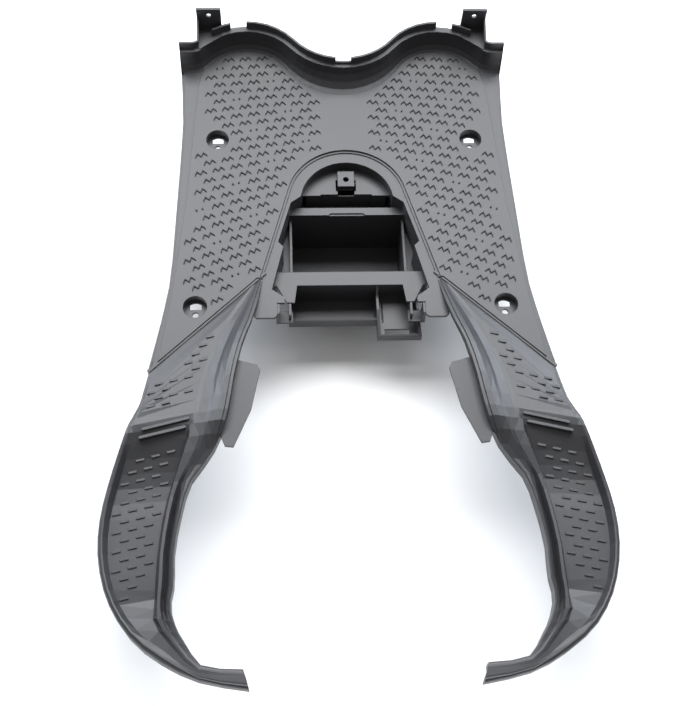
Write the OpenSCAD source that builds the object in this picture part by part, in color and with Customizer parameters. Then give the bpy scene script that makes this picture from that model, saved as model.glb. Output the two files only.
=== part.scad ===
// Footboard of a small motor scooter: one injection moulding in black polypropylene.
// The flat floor carries a zigzag tread and a battery bay; behind it two arms sweep out and round.
// Each arm carries a passenger foot pad. The front edge turns up in a cove that meets the leg shield.
// X runs across the scooter, +Y points to the front wheel, +Z is up.
// The origin lies under the middle of the moulding, level with the underside of the battery box.

/* [Floor] */
// Height of the floor surface above the underside of the battery box
floor_z = 92; // [86:1:110]
// Width of the floor across its front corners
floor_w = 362; // [356:1:370]
// Width of the floor at its narrowest point
waist_w = 355; // [349:1:359]
// Thickness of the floor sheet and of the arms' top skin
sheet_t = 3; // [2:0.1:4]
// Depth of the side skirts below the floor surface
skirt_d = 30; // [20:1:40]
// Height of the raised tread mat over the border round it
mat_h = 1.8; // [1:0.1:2.4]
// Width of the groove between the mat and the battery bay's seat ring
groove_w = 2.6; // [1.5:0.1:4]

/* [Front edge] */
// Distance from the middle of the moulding to the front edge on the centre line
front_y = 300; // [294:1:306]
// How far the two front lobes stand ahead of the edge on the centre line
lobe_rise = 51; // [46:1:55]
// Distance of each lobe's crown from the centre line
lobe_x = 107; // [104:1:110]
// Radius of the lobes
lobe_r = 62; // [58:1:66]
// How far the outer front corners stand ahead of the edge on the centre line
corner_rise = 21.5; // [18:0.5:25]
// Radius that joins each lobe to its front corner
corner_r = 14; // [11:1:17]
// Width of the cove on the centre line, where it is widest
cove_mid = 18; // [14:1:22]
// Width of the cove round the lobes
cove_side = 8; // [6:1:10]
// Height of the cove's top edge over the floor surface
cove_top = 24; // [20:1:28]
// Height of the overlap lip over the cove's top edge
lip_h = 10; // [6:1:14]
// Thickness of the overlap lip
lip_t = 2.4; // [1.8:0.1:3]
// Width of the locating slot in the middle of the lip
slot_w = 17; // [12:1:22]

/* [Front tabs] */
// Distance of the screw tabs' holes from the centre line
tab_x = 148; // [146:1:150]
// Width of a screw tab
tab_w = 27; // [24:1:30]
// Height of a screw tab's top over the floor surface
tab_top = 54; // [52:1:60]
// Height of the tab's screw hole over the floor surface
tab_hole_z = 45; // [42:1:46]
// Diameter of the tab's screw hole
tab_hole_d = 5.6; // [4:0.1:7]
// Thickness of a screw tab
tab_t = 3; // [2.4:0.1:4]

/* [Screw cups] */
// Distance of the front screw cups from the centre line
cup_front_x = 139; // [134:1:142]
// Place of the front screw cups along the floor
cup_front_y = 221; // [210:1:230]
// Distance of the rear screw cups from the centre line
cup_rear_x = 159; // [155:1:161]
// Place of the rear screw cups along the floor
cup_rear_y = 15; // [10:1:20]
// Inner diameter of a screw cup
cup_d = 24.5; // [22:0.5:26]
// Depth of a screw cup below the floor surface
cup_depth = 10; // [8:0.5:14]
// Wall and bottom thickness of a screw cup
cup_wall = 2.2; // [1.8:0.1:3]
// Diameter of the screw hole in a cup
cup_hole_d = 6.5; // [5:0.1:7]

/* [Battery bay] */
// Radius of the groove that arches over the front of the bay
bay_arch_r = 62; // [60:1:65]
// Place of the arch's centre along the floor
bay_arch_y = 142; // [138:1:146]
// Angle by which the bay's sides spread toward the rear
bay_spread = 15.7; // [14.5:0.1:17]
// Width of the seat ring for the bay's cover
seat_w = 12; // [11:0.5:13]
// Depth of the seat ring below the floor surface
seat_z = 3; // [2.5:0.1:4]
// Inner width of the battery box
box_w = 119; // [114:1:121]
// Inner length of the battery box
box_l = 73.5; // [70:0.5:76]
// Place of the battery box's rear wall along the floor
box_rear_y = 62; // [60:0.5:64]
// Wall thickness of the battery box and of the shelves round it
box_t = 2.6; // [2:0.1:3.4]
// Width of the flat bar along the battery box's front edge
bar_w = 9.5; // [8:0.5:11]
// Depth of that bar below the floor surface
bar_z = 20; // [18:1:24]
// Depth of the cover shelf at the front of the bay
shelf_z = 16; // [13:1:17]
// Depth of the gutter round the battery box
gutter_z = 40; // [34:1:46]
// Depth of the cross beam behind the battery box
beam_z = 14; // [12:1:17]
// Depth of the open trough behind the cross beam
trough_z = 50; // [46:1:60]
// Diameter of the hole in the cover's screw tab
clip_hole_d = 6.2; // [5:0.1:7.5]

/* [Arms] */
// Overall width across the two arms
overall_w = 485; // [478:1:495]
// Length from the hips, where the arms leave the floor, to the tail
arm_l = 301; // [292:1:310]
// Width of the rim outside the foot pad
rim_out_w = 5; // [4:0.5:7]
// Width of the slope between a rim and the foot pad
rim_slope_w = 4; // [3:0.5:5]
// Height of the crest ahead of the foot pad over the floor surface
crest_z = 13; // [8:0.5:18]
// Depth of the foot pad below the floor surface
pad_z = 6; // [3:0.5:9]
// Height of the raised band's inner edge over the floor surface
band_z = 21; // [16:1:26]

/* [Tread] */
// Height of the tread ridges
tread_h = 1.1; // [0.6:0.1:1.6]
// Width of a tread ridge
ridge_w = 1.7; // [1.2:0.1:2.2]
// Width of one zigzag
zigzag_w = 13; // [11:0.5:14]
// Pitch of the zigzag columns across the floor
column_pitch = 9.5; // [9:0.1:12]
// Pitch of the zigzags along one column beside the bay
row_pitch = 21.2; // [19:0.1:26]

/* [Hidden] */
plastic = [0.2, 0.2, 0.21];
lap = 0.5;
mirror_x = [1, 0, 0];

// Curves: a smooth curve through control rows, and its stretch from u0 to u1 in n steps.
function along(p, u) = let (
    i = max(0, min(len(p) - 2, floor(u))), t = u - i,
    b = p[i], c = p[i + 1],
    a = i > 0 ? p[i - 1] : 2*b - c,
    d = i + 2 < len(p) ? p[i + 2] : 2*c - b)
    b + 0.5*t*(c - a + t*(2*a - 5*b + 4*c - d + t*(3*(b - c) + d - a)));
function stretch(p, u0, u1, n) = [for (i = [0:n]) along(p, u0 + (u1 - u0)*i/n)];
function ray(a) = [cos(a), sin(a)];
function arc(c, r, a0, a1, n) = [for (i = [0:n]) c + r*ray(a0 + (a1 - a0)*i/n)];
function flip(p) = [for (i = [len(p) - 1:-1:0]) p[i]];
function unit(v) = v/norm(v);
function above(p, z) = [p[0], p[1], z];
// Closed skin through equal rings of points, each running clockwise as seen along the sweep.
// A ring that is folded in plan has its two ends split along the line from point f to point g.
module skin(rings, f = 0, g = 0) {
    n = len(rings);
    m = len(rings[0]);
    points = [for (r = rings) each r];
    sides = [for (i = [0:n - 2], j = [0:m - 1]) let (k = (j + 1)%m)
        each [[i*m + k, i*m + j, (i + 1)*m + k], [(i + 1)*m + k, i*m + j, (i + 1)*m + j]]];
    near = g > f ? [concat([for (j = [0:f]) j], [for (j = [g:m - 1]) j]), [for (j = [f:g]) j]]
        : [[for (j = [0:m - 1]) j]];
    far = [for (face = near) [for (j = flip(face)) (n - 1)*m + j]];
    polyhedron(points = points, faces = concat(sides, near, far), convexity = 12);
}
module both() {
    children();
    mirror(mirror_x) children();
}

// Front edge line: a hollow arc on the centre line, a lobe, a small hollow arc and the flat corner.
lobe_c = [lobe_x, front_y + lobe_rise - lobe_r];
dip_r = (pow(lobe_x, 2) + pow(lobe_rise - lobe_r, 2) - pow(lobe_r, 2))/(2*lobe_rise);
dip_c = [0, front_y + dip_r];
corner_y = front_y + corner_rise;
corner_c = [lobe_x + sqrt(pow(lobe_r + corner_r, 2) - pow(corner_y + corner_r - lobe_c[1], 2)),
    corner_y + corner_r];
dip_a = atan2(lobe_c[1] - dip_c[1], lobe_c[0]);
lobe_a = atan2(corner_c[1] - lobe_c[1], corner_c[0] - lobe_c[0]);
// Stations along it: a point, the direction back into the floor, and the cove's width there.
dip_steps = 6;
lobe_steps = 10;
corner_steps = 3;
function cove_at(t) = cove_side + (cove_mid - cove_side)*pow(cos(90*t), 2);
front_stations = concat(
    [for (i = [0:dip_steps]) let (t = i/dip_steps, a = -90 + (dip_a + 90)*t)
        [dip_c + dip_r*ray(a), ray(a), cove_at(0.75*t)]],
    [for (i = [1:lobe_steps]) let (t = i/lobe_steps, a = 180 + dip_a + (lobe_a - 180 - dip_a)*t)
        [lobe_c + lobe_r*ray(a), -ray(a), cove_at(min(1, 0.75 + t))]],
    [for (i = [1:corner_steps]) let (a = 180 + lobe_a + (90 - lobe_a)*i/corner_steps)
        [corner_c + corner_r*ray(a), ray(a), cove_side]],
    [[[floor_w/2, corner_y], [0, -1], cove_side]]);
// The edge line moved back to a share of the cove's width plus d.
function front_line(share, d) = [for (s = front_stations) s[0] + s[1]*(share*s[2] + d)];

// Stations along the right arm. Each row holds, in plan, the outer edge, the outer edge of the
// inner strip and its inner edge, as drawn for the default width and length.
hip_y = -60;
drawn_w = 485;
drawn_l = 301.3;
arm_plan = [
    [[203.3, -55], [96, 47.7], [91.7, 51.8]],
    [[210, -89], [125, 3], [104.7, -3]],
    [[213, -97.5], [140, -33], [113.5, -30]],
    [[216, -106], [149.6, -64], [120.6, -62]],
    [[219, -116], [155.5, -99.5], [126, -98]],
    [[223, -129], [161.5, -121], [131, -120]],
    [[230, -151], [170, -149], [140, -142]],
    [[237, -177], [178, -174], [160, -171]],
    [[242, -205], [184, -202], [168, -200]],
    [[242.5, -235], [188, -238], [173.5, -236]],
    [[236.5, -266], [189, -268], [173, -266]],
    [[225, -293], [189, -284], [175.5, -287]],
    [[206, -318], [188, -303], [170, -306]],
    [[178, -338.5], [170, -326], [160, -323]],
    [[146, -353.5], [146.5, -347.5], [145, -341.5]],
    [[104, -361.3], [106.5, -352], [109, -344.5]]];
// Heights at the same stations: pad or panel, outer rim, inner rim, groove, inner edge, and the
// bottoms of the outer skirt and of the inner flange.
band_rise = band_z/21;
crest_rise = crest_z/13;
arm_heights = [
    [-mat_h - 1, -mat_h - 0.6, -mat_h - 1, -mat_h - 1, -mat_h - 1, -skirt_d, -mat_h - 9],
    [2.5*crest_rise, 1, 2, 6*band_rise, 12*band_rise, -skirt_d - 2, 4],
    [4.5*crest_rise, 3, 4, 10*band_rise, 17*band_rise, -skirt_d - 3, 6],
    [8*crest_rise, 6*crest_rise, 8, 14*band_rise, 20*band_rise, -skirt_d - 3, 6],
    [crest_z, crest_z - 1, crest_z, 17*band_rise, band_z, -skirt_d - 3, 6],
    [crest_z - 2, crest_z - 1, crest_z, 16*band_rise, 19*band_rise, -skirt_d - 4, 6],
    [-pad_z + 6, 7, 10, 8, 3, -skirt_d - 4, -10],
    [-pad_z, 3, 6, 1, 3, -skirt_d - 3, -12],
    [-pad_z, 1.5, 5, -3, 3, -skirt_d - 1, -13],
    [-pad_z, 1, 5, -3, 3, -skirt_d + 1, -13],
    [-pad_z, 1.5, 5, -3, 3, -skirt_d + 3, -13],
    [-pad_z, 2.5, 5, -2, 3, -skirt_d + 5, -13],
    [1, 4, 5, 1, 3, -skirt_d + 7, -13],
    [2, 3, 3, 2, 2, -skirt_d + 9, -13],
    [0, 0, 0, 0, -1, -skirt_d + 12, -14],
    [-5, -5, -5, -5, -6, -20, -20]];
arm_table = [for (i = [0:len(arm_plan) - 1]) concat([for (p = arm_plan[i])
    [p[0]*overall_w/drawn_w, hip_y + (p[1] - hip_y)*arm_l/drawn_l]], arm_heights[i])];
last_u = len(arm_table) - 1;
arm_columns = [for (c = [0:9]) [for (r = arm_table) r[c]]];
function arm_row(u) = [for (column = arm_columns) along(column, u)];
ledge_w = 3.5;
ledge_end = 5.6;
// Section of the arm at station u, from the outer skirt over the top and back underneath.
function arm_ring(u) = let (
    r = arm_row(u), o = r[0], i = r[1], b = r[2],
    across = unit(i - o), inward = norm(b - i) > 0.1 ? unit(b - i) : across, w = norm(b - i),
    slope = min(rim_slope_w, 0.25*w), ledge = u < ledge_end ? ledge_w : 1.2,
    pad_o = o + across*min(rim_out_w + rim_slope_w, 0.6*norm(i - o)),
    rim_o = o + across*min(rim_out_w, 0.4*norm(i - o)),
    under = u < ledge_end ? 2 : 1)
    [above(o, r[8]), above(o, r[4] - 3.5), above(o + (rim_o - o)*0.25, r[4] - 1),
    above(o + (rim_o - o)*0.7, r[4]), above(rim_o, r[4] - 0.2), above(pad_o, r[3]), above(i, r[3]),
    above(i + inward*slope, r[5]), above(i + inward*0.45*w, u < ledge_end ? (r[5] + r[6])/2 : r[5]),
    above(i + inward*0.58*w, r[6]), above(i + inward*0.8*w, (r[6] + 2*r[7])/3),
    above(b, r[7]), above(b + inward*0.4, r[7] - under), above(b + inward*ledge, r[7] - under - 0.3),
    above(b + inward*ledge, r[9]), above(b + inward*(ledge - 2.4), r[9]),
    above(b + inward*(ledge - 2.4), r[7] - under - sheet_t), above(i + inward*0.5*w, r[6] - sheet_t),
    above(i, min(r[3], r[5]) - sheet_t), above(pad_o, r[3] - sheet_t),
    above(o + across*3, r[4] - sheet_t - 2), above(o + across*2.4, r[8])];
arm_steps = 28;
module arm() {
    skin([for (i = [0:arm_steps]) arm_ring(last_u*i/arm_steps)], 6, 18);
}

// Root of the arm: a line from the hip inward. A point t along it and k ahead of it.
hip = arm_table[0][0];
root_dir = unit(arm_table[0][2] - hip);
root_len = norm(arm_table[0][2] - hip);
function root(t, k) = hip + root_dir*t + [root_dir[1], -root_dir[0]]*k;
mat_k = 0.6;
sheet_k = -0.6;
side_k = 0.9;
// Rib along the root, into which floor, side skirt and arm all run.
rib_out = 0.4;
rib_in = 5;
rib_ahead = 1.4;
rib_behind = 1.8;
rib_top = -1.2;
rib_depth = skirt_d + 0.8;
module root_rib() {
    translate([0, 0, -rib_depth]) linear_extrude(rib_depth + rib_top)
        polygon([root(-rib_out, rib_ahead), root(root_len + rib_in, rib_ahead),
            root(root_len + rib_in, -rib_behind), root(-rib_out, -rib_behind)]);
}

// Side of the floor from the front corner to the hip.
side_path = stretch([[floor_w/2, corner_y], [(floor_w + 2*waist_w)/6 + 1, corner_y - 30], [waist_w/2, 250],
    [waist_w/2 + 1, 200], [waist_w/2 + 3, 150], [waist_w/2 + 5, 100], [waist_w/2 + 7.5, 50],
    [hip[0] - 13, 14], [hip[0] - 7.7, -14], root(0, side_k)], 0, 9, 13);
// The side moved inward by d, bevelled to end on the root line.
function side_in(d) = [for (i = [0:len(side_path) - 1]) side_path[i] - [d, -d*i/(len(side_path) - 1)]];
skirt_w = 2.8;
module side_skirt() {
    translate([0, 0, -skirt_d]) linear_extrude(skirt_d - mat_h - sheet_t/2)
        polygon(concat(side_path, flip(side_in(skirt_w))));
}

// Front cove and overlap lip, swept along the front edge line.
lip_set = 4;
module front_edge() {
    rise = cove_top + mat_h;
    skin([for (s = flip(front_stations)) let (w = s[2])
        concat(
            [for (a = [0:22.5:90]) above(s[0] + s[1]*w*(1 - sin(a)), rise*(1 - cos(a)) - mat_h)],
            [above(s[0] - s[1]*lip_set, cove_top + 1), above(s[0] - s[1]*lip_set, cove_top + lip_h),
            above(s[0] - s[1]*(lip_set + lip_t), cove_top + lip_h),
            above(s[0] - s[1]*(lip_set + lip_t), cove_top - 2)],
            [above(s[0] - s[1]*sheet_t, cove_top - 2.6)],
            [for (a = [67.5:-22.5:0])
                above(s[0] + s[1]*(w*(1 - sin(a)) - sheet_t*sin(a)),
                    rise*(1 - cos(a)) - mat_h - sheet_t*cos(a))])]);
}

// Openings in the lip: the locating slot, the gap outside each lobe and the gap at each screw tab.
module locating_slot() {
    slab(-slot_w/2, slot_w/2, front_y - 3, front_y + 12, cove_top + 4, cove_top + lip_h + 1);
}
module lip_gaps() {
    slab(lobe_x, tab_x - tab_w/2 - 10, front_y + 40, front_y + 70, cove_top + 1, cove_top + lip_h + 1);
    slab(tab_x - tab_w/2 + 3, tab_x + tab_w/2 - 2, corner_y - 2, front_y + 45, cove_top + 1.1,
        cove_top + lip_h + 1);
}

// Floor in plan. A half outline runs from the centre line out and back to it; this closes it.
function symmetric(half) = concat(half, [for (i = [len(half) - 2:-1:1]) [-half[i][0], half[i][1]]]);
mat_corner = root(148.6, mat_k);
bay_c = [0, bay_arch_y];
side_p = bay_c + bay_arch_r*ray(bay_spread);
function bay_x(y) = side_p[0] + (side_p[1] - y)*tan(bay_spread);
// Line of the seat ring's outer edge moved inward by d.
function bay_line(d) = concat(arc(bay_c, bay_arch_r - d, 90, bay_spread, 14),
    [[bay_x(mat_corner[1]) - d/cos(bay_spread), mat_corner[1]]]);
// Line of the well that the seat ring opens into, moved outward by d.
step_d = 4;
leg_d = 11;
foot_d = 13;
function well_line(d) = concat(arc(bay_c, bay_arch_r - seat_w + d, 90, 8, 14),
    [[bay_x(142) - step_d + d, 141 + d/2], [bay_x(92.5) - step_d + d, 92.5 - d/2],
    [bay_x(87) - leg_d + d, 87 - d/2], [bay_x(36) - foot_d + d, 36]]);
leg = [[93.4, 34], [100, 10], [100, 6], [97, 3], [79, 3], [76, 6], [76, 20], [68.4, 20], [68.4, 27]];
mat_side = [[160.5, 297], [163, 262], [166.8, 206], [170.8, 143], [176, 92], [181.4, 42], [186, 6],
    [190.5, -20], root(13, mat_k)];
mat_shoulder = [[154.5, corner_y + 2], [157, corner_y - 9]];
// Front of the mat, up to its shoulder beside the front corner.
mat_front = [for (p = front_line(1, 0)) if (p[0] < 152) p];
mat_half = concat(mat_front, mat_shoulder, stretch(mat_side, 0, len(mat_side) - 1, 16),
    [mat_corner], flip(bay_line(-groove_w)));
sheet_side = side_in(skirt_w - 0.4);
sheet_front = front_line(1, -1.5);
sheet_half = concat([for (i = [0:len(sheet_front) - 2]) sheet_front[i]],
    [[sheet_side[0][0], corner_y - cove_side + 1.5]], [for (i = [1:len(sheet_side) - 2]) sheet_side[i]],
    [root(3, sheet_k), root(148.6, sheet_k)], flip(bay_line(0)));
ring_half = concat(bay_line(-2), leg, flip(well_line(0)));

module floor_plates() {
    translate([0, 0, -mat_h - sheet_t]) linear_extrude(sheet_t) polygon(symmetric(sheet_half));
    translate([0, 0, -mat_h - lap]) linear_extrude(mat_h + lap) polygon(symmetric(mat_half));
    translate([0, 0, -seat_z - sheet_t]) linear_extrude(sheet_t) polygon(symmetric(ring_half));
}

// Battery bay: well, shelf with the cover's screw tab, bar, box, cross beam, trough and tray.
box_front_y = box_rear_y + box_l;
box_out = box_w/2 + box_t;
beam_y = 46;
shelf_y = 158;
module slab(x0, x1, y0, y1, z0, z1) {
    translate([x0, y0, z0]) cube([x1 - x0, y1 - y0, z1 - z0]);
}
module well_shape(d) {
    polygon(symmetric(concat(well_line(d), [[0, 36]])));
}
module strip(y0, y1) {
    translate([-90, y0]) square([180, y1 - y0]);
}
module shelf_level(z, y0, y1) {
    translate([0, 0, z - box_t]) linear_extrude(box_t) intersection() {
        well_shape(0.5);
        strip(y0, y1);
    }
}
clip_y = 166;
clip_l = 19.5;
clip_w = 18;
clip_z = 10;
module bay() {
    difference() {
        union() {
            translate([0, 0, -gutter_z - box_t]) linear_extrude(gutter_z + box_t - seat_z - 0.5)
                difference() {
                    well_shape(box_t);
                    well_shape(0);
                    translate([-90, 30]) square([180, beam_y - 30]);
                }
            shelf_level(-gutter_z, beam_y, 200);
            shelf_level(-shelf_z, shelf_y, 200);
            shelf_level(-bar_z, box_front_y, box_front_y + bar_w);
            slab(-44, 44, shelf_y, shelf_y + box_t, -gutter_z - 1, -shelf_z - 1);
            slab(-54, 54, box_front_y + bar_w - box_t, box_front_y + bar_w, -gutter_z - 1, -bar_z - 1);
            slab(-box_out, box_out, box_rear_y - box_t, box_front_y + box_t, -floor_z, -bar_z - 8);
            slab(-box_out, box_out, box_front_y, box_front_y + box_t, -floor_z, -bar_z);
            shelf_level(-beam_z, beam_y, box_rear_y);
            slab(-box_out, box_out, box_rear_y - box_t, box_rear_y, -floor_z, -beam_z);
            slab(-box_out, box_out, beam_y, beam_y + box_t, -trough_z, -beam_z);
        }
        slab(-box_w/2, box_w/2, box_rear_y, box_front_y, -floor_z + box_t, 1);
        both() slab(box_w/2 + 8.2, box_w/2 + 10.9, box_rear_y + 0.5, box_rear_y + 12.5, -floor_z, -beam_z);
        translate([0, box_front_y, -bar_z]) linear_extrude(3, center = true)
            polygon([[-21, -1], [-17.5, 2.4], [17.5, 2.4], [21, -1]]);
        slab(-28, 28, shelf_y - 1, shelf_y + 1.5, -gutter_z, -shelf_z + 1);
        slab(-clip_w/2, clip_w/2, shelf_y - 1, clip_y, -shelf_z - box_t - 1, 0);
        both() slab(clip_w/2, clip_w/2 + 1.8, clip_y - 2, clip_y + 12, -shelf_z - box_t - 1, 0);
    }
    difference() {
        slab(-clip_w/2, clip_w/2, clip_y, clip_y + clip_l, -shelf_z - 1, -clip_z);
        slab(-clip_w/2 + 2.2, clip_w/2 - 2.2, clip_y - 1, clip_y + clip_l - 2.2, -shelf_z - 2, -clip_z - 2.4);
        translate([0, clip_y + 9, -clip_z - 4]) cylinder(h = 6, d = clip_hole_d, $fn = 48);
    }
    trough();
    tray();
    both() {
        slab(60, 77, 8, 21, -27, -24.4);
        slab(73.5, 76.5, 8, 21, -27, -4);
        translate([0, 0, -beam_z - box_t]) linear_extrude(box_t)
            polygon([[55, beam_y + 1], [77, beam_y + 1], [70, 34], [66, 26], [58, 26]]);
        slab(61.5, 64, 12, beam_y + 1, -27, -beam_z - 1);
    }
}
trough_x0 = -64;
trough_x1 = 30;
trough_y = 13.5;
module trough() {
    difference() {
        translate([trough_x0, 0, 0]) rotate([90, 0, 90]) linear_extrude(trough_x1 - trough_x0)
            polygon([[beam_y + 1, -trough_z - box_t], [beam_y + 1, -beam_z - 1], [beam_y - 6, -26],
                [trough_y, -32], [trough_y, -trough_z + 5], [trough_y + 5, -trough_z - box_t]]);
        translate([trough_x0 + box_t, 0, 0]) rotate([90, 0, 90])
            linear_extrude(trough_x1 - trough_x0 - 2*box_t)
            polygon([[beam_y, -trough_z], [beam_y, 1], [trough_y + box_t, 1],
                [trough_y + box_t, -trough_z + 7], [trough_y + box_t + 5, -trough_z]]);
    }
}
tray_z = 40;
tray_y = -5;
module tray() {
    difference() {
        translate([0, 0, -tray_z - box_t]) linear_extrude(16)
            polygon([[trough_x1 - box_t, beam_y + 1], [69.5, beam_y + 1], [71.5, 30], [74, tray_y],
                [28, tray_y]]);
        translate([0, 0, -tray_z]) linear_extrude(30)
            polygon([[trough_x1, beam_y + 2], [67, beam_y + 2], [69, 30], [71, tray_y + box_t],
                [30.8, tray_y + box_t]]);
        slab(36, 62, 1, 7, -tray_z - 5, -20);
        slab(33.5, 35.2, 15, 38, -tray_z - 5, -20);
        translate([20, tray_y - 1, -tray_z + 6]) rotate([14, 0, 0]) cube([60, 40, 20]);
    }
}

// Screw cups in the floor.
cup_places = [[cup_front_x, cup_front_y], [cup_rear_x, cup_rear_y]];
module cup_bodies() {
    for (c = cup_places)
        translate([c[0], c[1], -cup_depth - cup_wall])
            cylinder(h = cup_depth + cup_wall - 0.4, d = cup_d + 2*cup_wall, $fn = 96);
}
module cup_cuts() {
    for (c = cup_places)
        translate([c[0], c[1], 0]) {
            translate([0, 0, -cup_depth]) cylinder(h = cup_depth + 2, d = cup_d, $fn = 96);
            translate([0, -4.6, -cup_depth - cup_wall - 1]) cylinder(h = 6, d = cup_hole_d, $fn = 48);
            translate([0, 0, -cup_depth - cup_wall - 1]) linear_extrude(6) intersection() {
                circle(d = cup_d - 5, $fn = 96);
                translate([-6, 1.6]) square([12, 10]);
            }
        }
}

// Upright screw tabs on the front edge, each with its ledge and side rib.
tab_y = front_y + 55;
module front_tab() {
    difference() {
        union() {
            slab(tab_x - tab_w/2, tab_x + tab_w/2, tab_y, tab_y + tab_t, cove_top - 1, tab_top);
            translate([0, 0, cove_top - 1.5]) linear_extrude(2.6)
                polygon([[tab_x - tab_w/2, tab_y + 1], [tab_x + tab_w/2, tab_y + 1],
                    [tab_x + tab_w/2, corner_y + 4], [tab_x + tab_w/2 - 3, corner_y + 4],
                    [tab_x - tab_w/2, corner_y + 22]]);
            translate([tab_x + tab_w/2 - 2, 0, 0]) rotate([90, 0, 90]) linear_extrude(2)
                polygon([[corner_y + 5, cove_top], [tab_y + 1, cove_top], [tab_y + 1, tab_top - 12],
                    [corner_y + 8, cove_top + lip_h]]);
        }
        translate([tab_x, tab_y - 2, tab_hole_z]) rotate([-90, 0, 0])
            cylinder(h = tab_t + 4, d = tab_hole_d, $fn = 48);
    }
}

// Flat flange inside each band, where the side covers lie.
module flange() {
    translate([0, 0, 5.5]) linear_extrude(2.6)
        polygon([[117, -48], [96.2, -54.2], [93.3, -60], [102, -101.5], [118.8, -139.7], [127, -138.5],
            [131, -128], [126, -100]]);
}

// Long ribs on the crest ahead of each foot pad.
module crest_ribs() {
    for (r = [[[162, -112], [203.5, -122.5]], [[165, -121], [206, -131]]])
        hull() for (p = r) translate([p[0], p[1], crest_z - 6]) cylinder(h = 8.2, d = 3, $fn = 16);
}

// Tread. A zigzag of four strokes, and the pair of dots that takes its place at times.
strokes = 4;
swing = 4.3;
function zigzag(w, h, t) = concat(
    [for (i = [0:strokes]) [-w/2 + i*w/strokes, (i%2 == 0 ? -h/2 : h/2) + t/2]],
    [for (i = [strokes:-1:0]) [-w/2 + i*w/strokes, (i%2 == 0 ? -h/2 : h/2) - t/2]]);
fan = 1.009;
fan_y = 844;
column_x = 61.7;
row_y = 4.8;
columns = [-3, 13];
rows = [-2, 17];
function tread_at(i, k) = [column_x + i*column_pitch,
    (row_y + k*row_pitch + fan_y)*pow(fan, i) - fan_y];
// Turn of a zigzag: its outer end lies further back, more so toward the rear.
function tread_turn(p) = -(8.5 + max(0, 300 - p[1])*0.052);
function edge_x(line, y) = lookup(-y, [for (p = line) [-p[1], p[0]]]);
function front_at(x) = lookup(x, [for (p = mat_front) [p[0], p[1]]]);
rear_slope = root_dir[1]/root_dir[0];
tread_gap = 8;
function on_mat(p) = p[0] < edge_x(concat(mat_shoulder, mat_side), p[1]) - tread_gap
    && p[1] < front_at(p[0]) - 7
    && p[1] > mat_corner[1] + (p[0] - mat_corner[0])*rear_slope + 9
    && (p[1] > bay_arch_y ? norm(p - bay_c) > bay_arch_r + 10 : p[0] > bay_x(p[1]) + 10)
    && (p[0] > 40 || p[1] > 300 || p[1] < 275)
    && min([for (c = cup_places) norm(p - c)]) > cup_d/2 + 8;
module tread() {
    for (i = [columns[0]:columns[1]], k = [rows[0]:rows[1]]) {
        p = tread_at(i, k);
        dots = i%2 == 0 && (k - i/2 + 48)%5 == 0;
        if (on_mat(p))
            translate([p[0], p[1], -lap]) rotate([0, 0, tread_turn(p)]) linear_extrude(tread_h + lap) {
                if (!dots)
                    polygon(zigzag(zigzag_w, swing, ridge_w));
                if (dots)
                    for (x = [-zigzag_w/4, zigzag_w/4])
                        translate([x - ridge_w/2, -ridge_w/2]) square(ridge_w);
            }
    }
}

// Dashes on the panel behind the floor and on the foot pad.
dash_w = 8;
dash_t = 2.2;
dash_turn = -12;
pad_dashes = [for (i = [-2:5], j = [-3:16]) [199.3, -156] + i*[-14.7, 3.6] + j*[7, -10.8]];
panel_dashes = [for (i = [-3:5], j = [-4:8]) [149.9, -29.9] + i*[-14.5, 2.7] + j*[6.9, -9.6]];
// Distance of p ahead of the arm's station u, and its place across the pad there.
function ahead(p, u) = let (r = arm_row(u), t = unit(r[1] - r[0]))
    t[0]*(p[1] - r[0][1]) - t[1]*(p[0] - r[0][0]);
function station_of(p) = lookup(0, [for (u = [0:0.25:14]) [ahead(p, u), u]]);
function across_of(p, u) = let (r = arm_row(u)) (p - r[0])*unit(r[1] - r[0]);
module dashes(places, u0, u1) {
    for (p = places) {
        u = station_of(p);
        r = arm_row(u);
        v = across_of(p, u);
        if (u > u0 && u < u1 && v > rim_out_w + rim_slope_w + 5 && v < norm(r[1] - r[0]) - 5.5)
            translate([p[0], p[1], r[3] - 1.2]) rotate([0, 0, dash_turn]) translate([-dash_w/2, -dash_t/2])
                cube([dash_w, dash_t, 1.2 + tread_h]);
    }
}

// Middle of the whole moulding along Y, before it is moved to the origin.
middle_y = (tab_y + tab_t + hip_y - arm_l)/2;
module floorboard() {
    color(plastic) translate([0, -middle_y, floor_z]) {
        difference() {
            union() {
                floor_plates();
                both() cup_bodies();
                bay();
            }
            both() cup_cuts();
        }
        difference() {
            both() front_edge();
            locating_slot();
            both() lip_gaps();
        }
        both() {
            side_skirt();
            root_rib();
            arm();
            flange();
            front_tab();
            crest_ribs();
            tread();
            dashes(panel_dashes, 1.1, 3.7);
            dashes(pad_dashes, 5.7, 12);
        }
    }
}

floorboard();
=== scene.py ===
"""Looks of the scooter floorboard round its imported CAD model: black satin plastic on a pale floor."""
import math

import bpy
from mathutils import Matrix, Vector

MM = 0.001

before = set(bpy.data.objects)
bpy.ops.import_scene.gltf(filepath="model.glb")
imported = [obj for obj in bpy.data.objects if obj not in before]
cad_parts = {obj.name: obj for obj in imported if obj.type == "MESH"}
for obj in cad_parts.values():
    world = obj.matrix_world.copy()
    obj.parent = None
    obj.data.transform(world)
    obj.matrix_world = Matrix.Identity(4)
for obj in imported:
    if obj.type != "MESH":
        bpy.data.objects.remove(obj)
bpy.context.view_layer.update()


def put(node, values):
    """Set a node's inputs by their names."""
    for name, value in values.items():
        node.inputs[name].default_value = value


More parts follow.
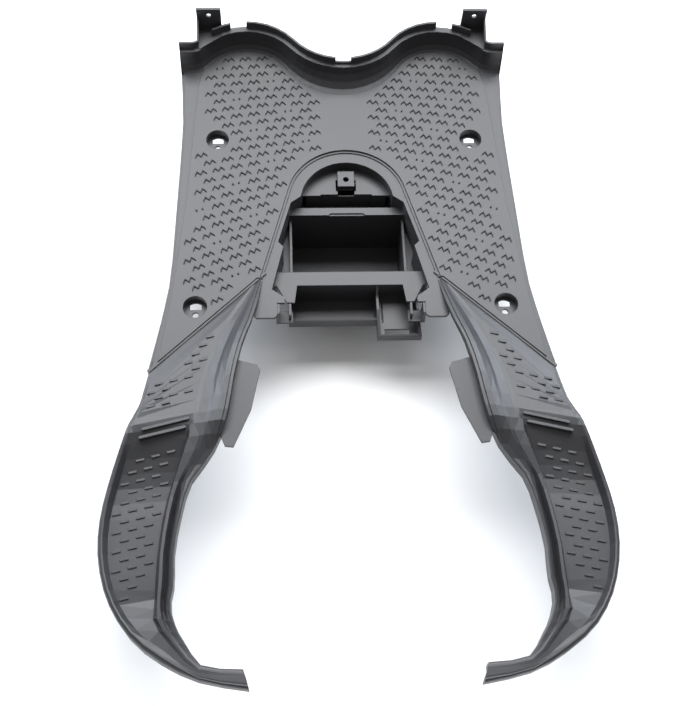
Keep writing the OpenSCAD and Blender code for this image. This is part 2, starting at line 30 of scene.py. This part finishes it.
# Moulded plastic
BOARD_BLACK = (0.030, 0.030, 0.033)
BOARD_ROUGH = 0.42
# Painted shade: the tread's ridges and the dashes' sides get this darker black in place of the shade on
# their sides
RIDGE_PAINTED_SHADE = (0.008, 0.008, 0.009)
RIDGE_ROUGH = 0.62
PLASTIC_IOR = 1.49
PEBBLE_SCALE = 900.0  # per metre
PEBBLE_DETAIL = 3.0
PEBBLE_HEIGHT = 0.2*MM
PEBBLE_STRENGTH = 0.25
MOTTLE_SCALE = 14.0  # per metre
MOTTLE_DETAIL = 5.0
MOTTLE_DARK = 0.3  # noise value at which the tint is darkest
MOTTLE_LIGHT = 0.7  # noise value at which the tint is lightest
TINT_SPAN = 0.1  # most that the colour departs from its base, as a share
ROUGH_SPAN = 0.04  # most that the roughness departs from its middle
EDGE_RADIUS = 0.8*MM
EDGE_SAMPLES = 4


def noise(tree, place, scale, detail):
    texture = tree.nodes.new("ShaderNodeTexNoise")
    put(texture, {"Scale": scale, "Detail": detail})
    tree.links.new(place.outputs["Object"], texture.inputs["Vector"])
    return texture.outputs["Fac"]


def plastic(name, base, rough):
    """Moulded plastic: fine pebble grain, slight mottling, softly rounded edges."""
    mat = bpy.data.materials.new(name)
    mat.use_nodes = True
    tree = mat.node_tree
    shader = tree.nodes["Principled BSDF"]
    put(shader, {"IOR": PLASTIC_IOR})
    place = tree.nodes.new("ShaderNodeTexCoord")
    pebble = noise(tree, place, PEBBLE_SCALE, PEBBLE_DETAIL)
    mottle = noise(tree, place, MOTTLE_SCALE, MOTTLE_DETAIL)

    tint = tree.nodes.new("ShaderNodeValToRGB")
    dark, light = tint.color_ramp.elements
    dark.position = MOTTLE_DARK
    light.position = MOTTLE_LIGHT
    dark.color = [channel*(1 - TINT_SPAN) for channel in base] + [1]
    light.color = [channel*(1 + TINT_SPAN) for channel in base] + [1]
    tree.links.new(mottle, tint.inputs["Fac"])
    tree.links.new(tint.outputs["Color"], shader.inputs["Base Color"])

    gloss = tree.nodes.new("ShaderNodeMapRange")
    put(gloss, {"To Min": rough - ROUGH_SPAN, "To Max": rough + ROUGH_SPAN})
    tree.links.new(mottle, gloss.inputs["Value"])
    tree.links.new(gloss.outputs["Result"], shader.inputs["Roughness"])

    edge = tree.nodes.new("ShaderNodeBevel")
    edge.samples = EDGE_SAMPLES
    put(edge, {"Radius": EDGE_RADIUS})
    bump = tree.nodes.new("ShaderNodeBump")
    put(bump, {"Strength": PEBBLE_STRENGTH, "Distance": PEBBLE_HEIGHT})
    tree.links.new(pebble, bump.inputs["Height"])
    tree.links.new(edge.outputs["Normal"], bump.inputs["Normal"])
    tree.links.new(bump.outputs["Normal"], shader.inputs["Normal"])
    return mat


# Faces in the second slot: the tread's ridges and the dashes' sides, which are matt, and darker as
# painted shade for the shade that falls on their sides
MAT_TOP = 92*MM
RIDGE_LEAST = 0.5*MM  # least rise of a ridge's face over the mat
RIDGE_TOP = 93.2*MM  # just over the ridges
HEIGHT_SLACK = 0.01*MM
HIP = Vector((203.3, -53.5))*MM  # outer end of the line where the arm leaves the floor
ROOT_NORMAL = Vector((0.6915, 0.7225))  # across that line, towards the floor
DASH_TURN = 12  # degrees between a dash's sides and the X and Y axes
DASH_TURN_SLACK = 0.5  # degrees
DASH_SIDE_MAX = 30*MM*MM  # largest area of a dash's side
UPRIGHT_SLACK = 0.01  # largest rise of an upright face's normal
CREASE = 32  # degrees, above which an edge stays sharp


def is_on_floor(face):
    middle = Vector((abs(face.center.x), face.center.y))
    return (middle - HIP).dot(ROOT_NORMAL) > 0


def is_ridge(face):
    heights = [board.data.vertices[i].co.z for i in face.vertices]
    return min(heights) > MAT_TOP - HEIGHT_SLACK and MAT_TOP + RIDGE_LEAST < max(heights) < RIDGE_TOP


def is_dash_side(face):
    bearing = math.degrees(math.atan2(face.normal.y, face.normal.x)) % 90
    off_turn = min(abs(bearing - DASH_TURN), abs(bearing - 90 + DASH_TURN))
    small = face.area < DASH_SIDE_MAX
    return small and abs(face.normal.z) < UPRIGHT_SLACK and off_turn < DASH_TURN_SLACK


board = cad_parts["floorboard"]
board.data.materials.clear()
board.data.materials.append(plastic("moulded_plastic", BOARD_BLACK, BOARD_ROUGH))
# Second material: its darker black is painted shade on the ridges and the dashes' sides
board.data.materials.append(plastic("ridge_painted_shade_plastic", RIDGE_PAINTED_SHADE, RIDGE_ROUGH))
for face in board.data.polygons:
    face.use_smooth = True
    face.material_index = int(is_ridge(face) if is_on_floor(face) else is_dash_side(face))
crease = board.modifiers.new("crease", "EDGE_SPLIT")
crease.split_angle = math.radians(CREASE)

# Ground, in metres
GROUND_HALF = 6
PAPER_WHITE = (0.9, 0.9, 0.9, 1)
PAPER_ROUGH = 0.9
FADE_START = 0.7
FADE_END = 1.6


def paper():
    """Pale paper that fades out, away from the object, into the white background."""
    mat = bpy.data.materials.new("paper")
    mat.use_nodes = True
    tree = mat.node_tree
    shader = tree.nodes["Principled BSDF"]
    put(shader, {"Base Color": PAPER_WHITE, "Roughness": PAPER_ROUGH})
    place = tree.nodes.new("ShaderNodeTexCoord")
    reach = tree.nodes.new("ShaderNodeVectorMath")
    reach.operation = "LENGTH"
    fade = tree.nodes.new("ShaderNodeMapRange")
    put(fade, {"From Min": FADE_START, "From Max": FADE_END, "To Min": 1, "To Max": 0})
    tree.links.new(place.outputs["Object"], reach.inputs[0])
    tree.links.new(reach.outputs["Value"], fade.inputs["Value"])
    tree.links.new(fade.outputs["Result"], shader.inputs["Alpha"])
    return mat


ground_mesh = bpy.data.meshes.new("ground")
corners = [(x*GROUND_HALF, y*GROUND_HALF, 0) for x, y in ((-1, -1), (1, -1), (1, 1), (-1, 1))]
ground_mesh.from_pydata(corners, [], [(0, 1, 2, 3)])
ground_mesh.materials.append(paper())
ground = bpy.data.objects.new("ground", ground_mesh)
bpy.context.scene.collection.objects.link(ground)

# Camera, fitted to the photograph
PHOTO_H = 706.0  # pixels
FOCAL_PX = 1120.0  # focal length in the photograph's pixels
SENSOR = 36.0  # mm, along the photograph's height
CLIP_END = 50  # metres
CAMERA_AT = (-68.4, -516.5, 1100.4)  # mm
PITCH, YAW, ROLL = 64.4, 7.49, 5.98  # degrees


def add_camera():
    pitch, yaw, roll = (math.radians(angle) for angle in (PITCH, YAW, ROLL))
    turn = Matrix.Rotation(-yaw, 3, "Z")
    ahead = turn @ Vector((0, math.cos(pitch), -math.sin(pitch)))
    over = turn @ Vector((0, math.sin(pitch), math.cos(pitch)))
    right = turn @ Vector((1, 0, 0))
    side = right*math.cos(roll) + over*math.sin(roll)
    top = over*math.cos(roll) - right*math.sin(roll)
    data = bpy.data.cameras.new("camera")
    data.sensor_width = SENSOR
    data.lens = FOCAL_PX/PHOTO_H*SENSOR
    data.clip_end = CLIP_END
    camera = bpy.data.objects.new("camera", data)
    bpy.context.scene.collection.objects.link(camera)
    camera.matrix_world = Matrix((
        (side.x, top.x, -ahead.x, CAMERA_AT[0]*MM),
        (side.y, top.y, -ahead.y, CAMERA_AT[1]*MM),
        (side.z, top.z, -ahead.z, CAMERA_AT[2]*MM),
        (0, 0, 0, 1)))
    bpy.context.scene.camera = camera


add_camera()

# Light, in metres and watts
FRONT_AT = (0, 1.25, 2.0)
FRONT_AIM = (0, 0.1, 0.1)
FRONT_SIZE = (2.6, 1.3)
FRONT_POWER = 100
FRONT_TONE = (0.97, 0.98, 1.0)
SIDE_X = 1.8
SIDE_Y = 1.5
SIDE_Z = 1.1
SIDE_AIM = (0, -0.1, 0.1)
SIDE_SIZE = (1.1, 0.9)
SIDE_POWER = 44
SIDE_TONE = (0.84, 0.91, 1.0)
WORLD_WHITE = (1, 1, 1, 1)
WORLD_STRENGTH = 0.42  # on the object
WORLD_SEEN = 1.0  # as the background behind it


def soft_light(name, at, aim, size, power, tone):
    data = bpy.data.lights.new(name, "AREA")
    data.shape = "RECTANGLE"
    data.size, data.size_y = size
    data.energy = power
    data.color = tone
    lamp = bpy.data.objects.new(name, data)
    bpy.context.scene.collection.objects.link(lamp)
    lamp.location = at
    lamp.rotation_mode = "QUATERNION"
    lamp.rotation_quaternion = (Vector(aim) - Vector(at)).to_track_quat("-Z", "Y")


def add_world():
    world = bpy.data.worlds.new("studio")
    world.use_nodes = True
    tree = world.node_tree
    background = tree.nodes["Background"]
    put(background, {"Color": WORLD_WHITE})
    ray = tree.nodes.new("ShaderNodeLightPath")
    seen = tree.nodes.new("ShaderNodeMapRange")
    put(seen, {"To Min": WORLD_STRENGTH, "To Max": WORLD_SEEN})
    tree.links.new(ray.outputs["Is Camera Ray"], seen.inputs["Value"])
    tree.links.new(seen.outputs["Result"], background.inputs["Strength"])
    bpy.context.scene.world = world


soft_light("front_box", FRONT_AT, FRONT_AIM, FRONT_SIZE, FRONT_POWER, FRONT_TONE)
for name, side in (("left_box", -1), ("right_box", 1)):
    soft_light(name, (side*SIDE_X, SIDE_Y, SIDE_Z), SIDE_AIM, SIDE_SIZE, SIDE_POWER, SIDE_TONE)
add_world()
bpy.context.scene.view_settings.view_transform = "Standard"
